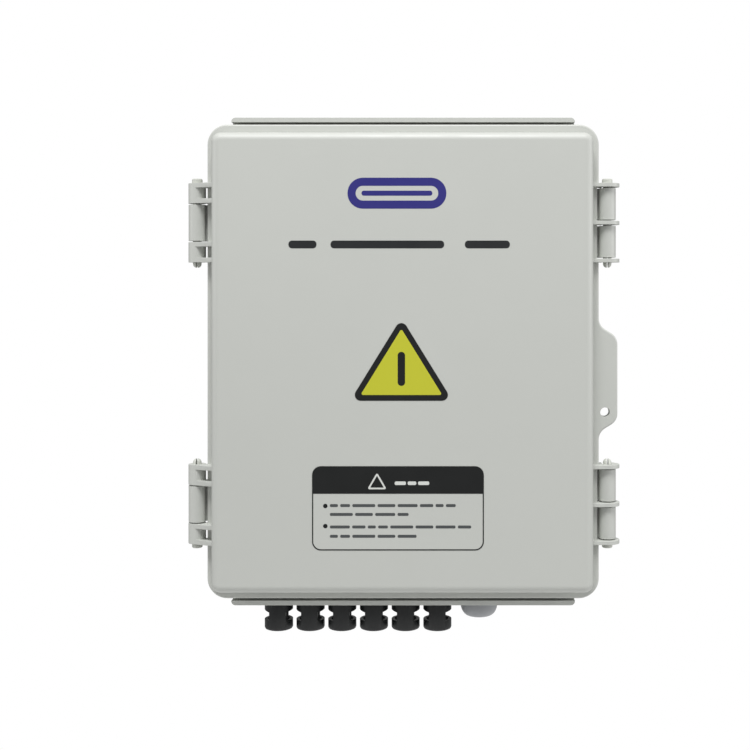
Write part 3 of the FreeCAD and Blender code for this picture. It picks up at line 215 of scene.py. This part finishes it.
def plastic(name, colour, low, high, spread=0.025, patch=14.0, grain_scale=2600.0, depth=1.2e-5, **sockets):
    """Moulded plastic: roughness from low to high, a drift of colour in patches and a fine grain."""
    material, nodes, _ = blank(name)
    tint(material, colour, spread, patch)
    roughen(material, low, high, 60.0)
    grain(material, grain_scale, depth)
    for socket, value in sockets.items():
        nodes["Principled BSDF"].inputs[socket.replace("_", " ")].default_value = value
    return material


def metal(name, colour, low, high, stretch=None, spread=0.05, depth=4e-6):
    """Metal, brushed along one axis where a stretch is given."""
    material, nodes, _ = blank(name)
    tint(material, colour, spread, 90.0)
    roughen(material, low, high, 900.0, stretch)
    grain(material, 1800.0, depth, 0.7, stretch)
    nodes["Principled BSDF"].inputs["Metallic"].default_value = 1.0
    return material


ALONG_X = (0.04, 1.0, 1.0)
FINISHES = {
    "enclosure_plastic": plastic("moulded_grey", srgb(194, 196, 191), 0.42, 0.52, 0.012),
    "pin_plastic": plastic("pin_grey", srgb(198, 200, 193), 0.38, 0.48, 0.02),
    "label_film": plastic("film_yellow", srgb(193, 194, 50), 0.30, 0.36, 0.01, depth=2e-6),
    "gasket_rubber": plastic("foam_rubber", srgb(40, 41, 42), 0.75, 0.9, 0.12, 60.0, 1500.0, 6e-5),
    "plate_steel": metal("zinc_plate", srgb(205, 208, 210), 0.32, 0.5, None, 0.08),
    "rail_steel": metal("bright_zinc", srgb(214, 215, 212), 0.22, 0.38, ALONG_X, 0.06),
    "screw_steel": metal("screw_zinc", srgb(206, 206, 204), 0.2, 0.36),
    "stop_plastic": plastic("stop_grey", srgb(138, 140, 141), 0.42, 0.52),
    "device_plastic": plastic("device_white", srgb(226, 227, 224), 0.4, 0.5, 0.012),
    "drawer_plastic": plastic("drawer_white", srgb(235, 235, 230), 0.32, 0.42, 0.012),
    "fuse_ceramic": plastic(
        "fuse_ceramic", srgb(240, 236, 226), 0.14, 0.22, 0.02, depth=3e-6, Coat_Weight=0.4
    ),
    "lever_plastic": plastic("lever_black", srgb(30, 32, 36), 0.28, 0.36, 0.05),
    "cartridge_plastic": plastic("cartridge_orange", srgb(226, 122, 38), 0.34, 0.44, 0.02),
    "copper": metal("copper", srgb(214, 140, 104), 0.18, 0.36, ALONG_X, 0.1),
    "brass": metal("brass", srgb(214, 186, 112), 0.2, 0.34, ALONG_X, 0.08),
    "red_insulation": plastic("wire_red", srgb(178, 32, 30), 0.36, 0.46, 0.04, 90.0),
    "black_insulation": plastic("wire_black", srgb(34, 34, 36), 0.38, 0.5, 0.08, 90.0),
    "earth_insulation": plastic("wire_green", srgb(64, 142, 60), 0.36, 0.46, 0.04, 90.0),
    "connector_plastic": plastic("connector_black", srgb(17, 20, 21), 0.34, 0.46, 0.06, 60.0, 2200.0, 1.6e-5),
    "contact_metal": metal("tinned_contact", srgb(222, 222, 218), 0.15, 0.28),
    "seal_rubber": plastic("seal_rubber", srgb(34, 35, 36), 0.6, 0.75, 0.08, 80.0),
    "gland_plastic": plastic("gland_grey", srgb(158, 160, 163), 0.38, 0.48, 0.03, 60.0),
}
LENS = {"spread": 0.03, "patch": 60.0, "depth": 1e-6, "Coat_Weight": 0.5}
PRINTS = {
    "black": plastic("print_black", srgb(16, 18, 18), 0.34, 0.42, 0.05, 60.0, depth=3e-6),
    "ink": plastic("print_ink", srgb(30, 32, 34), 0.4, 0.5, 0.05, 60.0, depth=3e-6),
    "blue": plastic("print_blue", srgb(44, 42, 122), 0.36, 0.44, 0.04, 60.0, depth=3e-6),
    "text": plastic("print_grey", srgb(74, 77, 78), 0.4, 0.5, 0.05, 60.0, depth=3e-6),
    "pale": plastic("print_pale", srgb(214, 216, 212), 0.4, 0.5, 0.02, 60.0, depth=3e-6),
    "window_red": plastic("lens_red", srgb(196, 40, 34), 0.12, 0.18, **LENS),
    "window_green": plastic("lens_green", srgb(60, 150, 72), 0.12, 0.18, **LENS),
}
SLOT_OF = {part["node"]: part["material_slot"] for part in frame["record"]["subparts"]}


def paint_nodes():
    for name, thing in NODES.items():
        thing.data.materials.clear()
        thing.data.materials.append(FINISHES[SLOT_OF[name]])


# ---------------------------------------------------------------- shapes
EDGE_ANGLE = 30.0  # degrees: a mesh edge that turns more than this is a real edge
FLAT_ANGLE = 0.4  # degrees: faces that turn less than this are one face
SAME_POINT = 2e-6


def box_in_mm(node):
    """The node's lowest and highest corners, in millimetres."""
    return [[value / MM for value in corner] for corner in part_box(node)]


def finished(name, bm, material, smooth_angle=35.0):
    """A mesh object from a bmesh, smooth except at its real edges."""
    bmesh.ops.recalc_face_normals(bm, faces=bm.faces)
    mesh = bpy.data.meshes.new(name)
    bm.to_mesh(mesh)
    bm.free()
    for face in mesh.polygons:
        face.use_smooth = True
    mesh.set_sharp_from_angle(angle=math.radians(smooth_angle))
    mesh.materials.append(material)
    thing = bpy.data.objects.new(name, mesh)
    bpy.context.scene.collection.objects.link(thing)
    return thing


def softened(node, width):
    """The node's own shape as a new piece, with its sharp edges rounded as far as its mesh allows."""
    bm = bmesh.new()
    bm.from_mesh(NODES[node].data)
    bmesh.ops.remove_doubles(bm, verts=bm.verts, dist=SAME_POINT)
    bmesh.ops.dissolve_limit(bm, angle_limit=math.radians(FLAT_ANGLE), verts=bm.verts, edges=bm.edges)
    slot = SLOT_OF[node]
    piece = finished(f"{node}_moulded", bm, FINISHES[slot], EDGE_ANGLE)
    bevel = piece.modifiers.new("rounding", "BEVEL")
    bevel.width = width
    bevel.segments = 3
    bevel.limit_method = "ANGLE"
    bevel.angle_limit = math.radians(EDGE_ANGLE)
    bevel.use_clamp_overlap = True
    bevel.harden_normals = True
    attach(piece, NODES[node]["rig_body"])
    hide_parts(node)
    return piece


def rounded_outline(points, radius, steps=8):
    """A closed outline in (across, up) pairs with each corner replaced by an arc."""
    outline = []
    count = len(points)
    for index, corner in enumerate(points):
        here = Vector(corner)
        before = (Vector(points[index - 1]) - here).normalized()
        after = (Vector(points[(index + 1) % count]) - here).normalized()
        half = before.angle(after) / 2
        centre = here + (before + after).normalized() * (radius / math.sin(half))
        first = here + before * (radius / math.tan(half)) - centre
        last = here + after * (radius / math.tan(half)) - centre
        start = math.atan2(first.y, first.x)
        turn = (math.atan2(last.y, last.x) - start + math.pi) % math.tau - math.pi
        for step in range(steps + 1):
            angle = start + turn * step / steps
            outline.append(centre + Vector((math.cos(angle), math.sin(angle))) * radius)
    return outline


def box_outline(left, right, low, high, radius):
    return rounded_outline([(left, low), (right, low), (right, high), (left, high)], radius)


def film(name, outlines, back, front, material, body="lid", slot="label_film"):
    """A thin printed shape between two depths. A second outline is the edge of a hole."""
    bm = bmesh.new()
    rings = [
        [[bm.verts.new((p.x * MM, y * MM, p.y * MM)) for p in outline] for y in (back, front)]
        for outline in outlines
    ]
    for rear, fore in rings:
        for i in range(len(rear)):
            j = (i + 1) % len(rear)
            bm.faces.new((rear[i], rear[j], fore[j], fore[i]))
    for level in (0, 1):
        if len(rings) == 1:
            bm.faces.new(rings[0][level])
        else:
            outer, inner = rings[0][level], rings[1][level]
            for i in range(len(outer)):
                j = (i + 1) % len(outer)
                bm.faces.new((outer[i], outer[j], inner[j], inner[i]))
    piece = finished(name, bm, material, EDGE_ANGLE)
    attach(piece, body)
    return piece


# ---------------------------------------------------------------- prints on the lid
LABELS_LOW, LABELS_HIGH = box_in_mm("lid_labels")
LID_TOP = box_in_mm("lid_shell")[1][2]
FACE = LABELS_HIGH[1]  # the panel's front
FILM = LABELS_LOW[1]  # the front of the labels, over these layers from the back forward
SHEET = FILM + 0.15
PRINT = FILM + 0.1
EDGE = FILM + 0.08
FIELD = FILM + 0.04
THIN_PRINT = 0.06


def make_sign():
    """A plain yellow triangle with a black edge and one upright bar."""
    corner, half, rise, middle = 4.0, 34.7, 56.2, -0.5
    side = math.hypot(half, rise)
    top = LABELS_HIGH[2] + corner * (side / half - 1)
    low = top - rise

    def triangle(inset):
        inner_half = half - inset * (side + half) / rise
        return [
            (middle - inner_half, low + inset),
            (middle + inner_half, low + inset),
            (middle, top - inset * side / half),
        ]

    bar = box_outline(middle - 2.5, middle + 2.5, low + 10.1, low + 33.1, 2.4)
    plate = film("sign_plate", [rounded_outline(triangle(0), corner)], FACE, PRINT, PRINTS["black"])
    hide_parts("lid_labels")
    film("sign_field", [rounded_outline(triangle(3.9), 1.0)], PRINT, FIELD, FINISHES["label_film"])
    film("sign_bar", [bar], FIELD, FILM, PRINTS["black"])


def make_notice():
    """A notice plate with a black header and rows of plain dashes where its lines of print are."""
    left, right, low = LABELS_LOW[0], LABELS_HIGH[0], LABELS_LOW[2]
    high = low + 57.1
    header = high - 18.7
    radius, border = 6.0, 0.8
    outline = box_outline(left, right, low, high, radius)
    inner = box_outline(left + border, right - border, low + border, high - border, radius - border)
    sheet = film("notice_sheet", [outline], FACE, SHEET, FINISHES["enclosure_plastic"])
    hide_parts("lid_labels")
    film("notice_outline", [outline, inner], SHEET, EDGE, PRINTS["black"])
    rounded = box_outline(left, right, header, high, radius)
    upper_half = rounded[len(rounded) // 2:]
    header_shape = [Vector((left, header)), Vector((right, header)), *upper_half]
    film("notice_header", [header_shape], EDGE, FIELD, PRINTS["black"])

    middle = (header + high) / 2
    mark = -17
    film("header_mark", [
        rounded_outline([(mark - 6.6, middle - 6.3), (mark + 6.6, middle - 6.3), (mark, middle + 5.1)], 0.9),
        rounded_outline([(mark - 4.7, middle - 5.2), (mark + 4.7, middle - 5.2), (mark, middle + 2.9)], 0.3),
    ], FIELD, FILM, PRINTS["pale"])
    for number, (start, end) in enumerate(((-5, 2.6), (3.8, 9.6), (10.8, 18.4)), start=1):
        bar = box_outline(start, end, middle - 3.4, middle - 1.0, 0.9)
        film(f"header_bar_{number}", [bar], FIELD, FILM, PRINTS["pale"])

    row_ends = ((99.8, 30.4), (65.4, 24.4), (109.1, 15.9), (70.8, 9.6))
    dashes = (5.4, 6.6, 15.5, 12.0, 13.5, 9.0)
    shortest, gap, row_start = 2.4, 1.6, 12.1
    for row, (end, up) in enumerate(row_ends):
        start = left + row_start
        for number in range(12):
            stop = min(left + end, start + dashes[(number + 2 * row) % len(dashes)])
            if stop - start > shortest:
                dash = box_outline(start, stop, low + up - 1.0, low + up + 1.0, 0.8)
                film(f"notice_line_{row + 1}_{number + 1}", [dash], SHEET, PRINT, PRINTS["text"])
            start = stop + gap
    for number, up in enumerate((30.1, 16.5), start=1):
        bullet = box_outline(left + 7.5, left + 10.5, low + up - 1.5, low + up + 1.5, 1.48)
        film(f"notice_bullet_{number}", [bullet], SHEET, PRINT, PRINTS["black"])


def make_headings():
    """Plain shapes where a mark and a title are printed."""
    badge = LID_TOP - 48.6
    title = LID_TOP - 83.35
    film("badge_print", [
        box_outline(-37, 30, badge - 10.5, badge + 10.5, 10.4),
        box_outline(-31.5, 24.5, badge - 5, badge + 5, 4.9),
    ], FACE, FACE - THIN_PRINT, PRINTS["blue"])
    core = box_outline(-27.5, 20.5, badge - 1.7, badge + 1.7, 1.6)
    film("badge_core", [core], FACE, FACE - THIN_PRINT, PRINTS["blue"])
    for number, (start, end) in enumerate(((-77, -58), (-48.5, 28.5), (42.5, 73)), start=1):
        bar = box_outline(start, end, title - 2.65, title + 2.65, 2.4)
        film(f"title_bar_{number}", [bar], FACE, FACE - THIN_PRINT, PRINTS["ink"])


# ---------------------------------------------------------------- details inside
UPPER_RAIL = sum(corner[2] for corner in box_in_mm("upper_din_rail")) / 2


def make_drawer_details():
    """Grip ridges, a small indicator lens and a plain fuse symbol on each fuse drawer."""
    for number in range(1, 7):
        body, slot = f"drawer_{number}", "drawer_plastic"
        low, high = box_in_mm(f"fuse_drawer_{number}")
        middle = (low[0] + high[0]) / 2
        grip, face = low[1], low[1] + 4.0
        white, ink = FINISHES["drawer_plastic"], PRINTS["ink"]
        for ridge in range(3):
            up = high[2] - 2.2 - 1.5 * ridge
            shape = box_outline(middle - 4.6, middle + 4.6, up - 0.4, up + 0.4, 0.35)
            film(f"drawer_{number}_ridge_{ridge + 1}", [shape], grip + 0.1, grip - 0.3, white, body, slot)
        bezel = box_outline(middle - 2.7, middle + 2.7, high[2] - 17.2, high[2] - 11.8, 2.6)
        lens = box_outline(middle - 1.9, middle + 1.9, high[2] - 16.4, high[2] - 12.6, 1.8)
        film(f"drawer_{number}_bezel", [bezel, lens], face, face - 0.45, white, body, slot)
        film(f"drawer_{number}_lens", [lens], face, face - 0.25, PRINTS["window_red"], body, slot)
        symbol = [
            box_outline(middle - 3.6, middle + 3.6, low[2] + 7.4, low[2] + 10.6, 0.3),
            box_outline(middle - 3.2, middle + 3.2, low[2] + 7.8, low[2] + 10.2, 0.2),
        ]
        line = box_outline(middle - 5.2, middle + 5.2, low[2] + 8.8, low[2] + 9.2, 0.15)
        film(f"drawer_{number}_symbol", symbol, face, face - THIN_PRINT, ink, body, slot)
        film(f"drawer_{number}_line", [line], face, face - THIN_PRINT, ink, body, slot)


def make_breaker_details():
    """A position window and a plain plate over each pole, and a line between the poles."""
    low, high = box_in_mm("breaker_case")
    face = low[1]
    plate_front = face - 0.08
    pole_width = (high[0] - low[0]) / 2
    where = ("enclosure", "device_plastic")
    for pole in (0, 1):
        middle = low[0] + pole_width * (pole + 0.5)
        window = box_outline(middle - 3, middle + 3, UPPER_RAIL + 13.5, UPPER_RAIL + 16.5, 0.6)
        plate = box_outline(middle - 5.5, middle + 5.5, UPPER_RAIL - 20, UPPER_RAIL - 13, 0.6)
        film(f"breaker_window_{pole + 1}", [window], face, face - 0.12, PRINTS["window_red"], *where)
        film(f"breaker_plate_{pole + 1}", [plate], face, plate_front, PRINTS["pale"], *where)
        for bar, (start, end) in enumerate(((-4.2, 3.6), (-4.2, 1.4))):
            up = UPPER_RAIL - 15 - 2.4 * bar
            shape = box_outline(middle + start, middle + end, up - 0.4, up + 0.4, 0.35)
            name = f"breaker_bar_{pole + 1}_{bar + 1}"
            film(name, [shape], plate_front, plate_front - THIN_PRINT, PRINTS["ink"], *where)
    middle = (low[0] + high[0]) / 2
    line = box_outline(middle - 0.25, middle + 0.25, UPPER_RAIL - 22, UPPER_RAIL - 11.5, 0.2)
    film("breaker_pole_line", [line], face, face - THIN_PRINT, PRINTS["ink"], *where)


def make_cartridge_details():
    """A green status window and a plain plate on each surge cartridge."""
    for number in range(1, 4):
        where = (f"cartridge_{number}", "cartridge_plastic")
        low, high = box_in_mm(f"surge_cartridge_{number}")
        middle = (low[0] + high[0]) / 2
        face = low[1] + 3.0
        plate_front = face - 0.08
        window = box_outline(middle - 2.6, middle + 2.6, UPPER_RAIL + 13.5, UPPER_RAIL + 17.5, 0.8)
        plate = box_outline(middle - 6.2, middle + 6.2, UPPER_RAIL - 1.5, UPPER_RAIL + 10.5, 0.8)
        film(f"cartridge_{number}_window", [window], face, face - 0.2, PRINTS["window_green"], *where)
        film(f"cartridge_{number}_plate", [plate], face, plate_front, PRINTS["pale"], *where)
        for bar, (start, end) in enumerate(((-4.8, 4.6), (-4.8, 2.2), (-4.8, 3.8))):
            up = UPPER_RAIL + 7.8 - 3.2 * bar
            shape = box_outline(middle + start, middle + end, up - 0.5, up + 0.5, 0.4)
            name = f"cartridge_{number}_bar_{bar + 1}"
            film(name, [shape], plate_front, plate_front - THIN_PRINT, PRINTS["ink"], *where)


# ---------------------------------------------------------------- the whole scene
PINS = [f"{side}_pin_{level}" for side in ("left", "right") for level in ("upper", "lower")]
ROUNDINGS = {  # millimetres asked for at each node's edges
    "lid_shell": 0.9,
    "base_shell": 0.35,
    "gland_cap": 0.5,
    "gland_body": 0.4,
    "breaker_case": 0.2,
    "breaker_lever": 0.5,
    "mounting_plate": 0.4,
    **{pin: 0.22 for pin in PINS},
    **{f"string_connector_{number}": 0.3 for number in range(1, 7)},
    **{f"fuse_holder_{number}": 0.4 for number in range(1, 7)},
    **{f"fuse_drawer_{number}": 0.5 for number in range(1, 7)},
    **{f"surge_cartridge_{number}": 0.6 for number in range(1, 4)},
}

make_camera()
make_studio()
paint_nodes()
make_sign()
make_notice()
make_headings()
make_drawer_details()
make_breaker_details()
make_cartridge_details()
for name, width in ROUNDINGS.items():
    softened(name, width * MM)
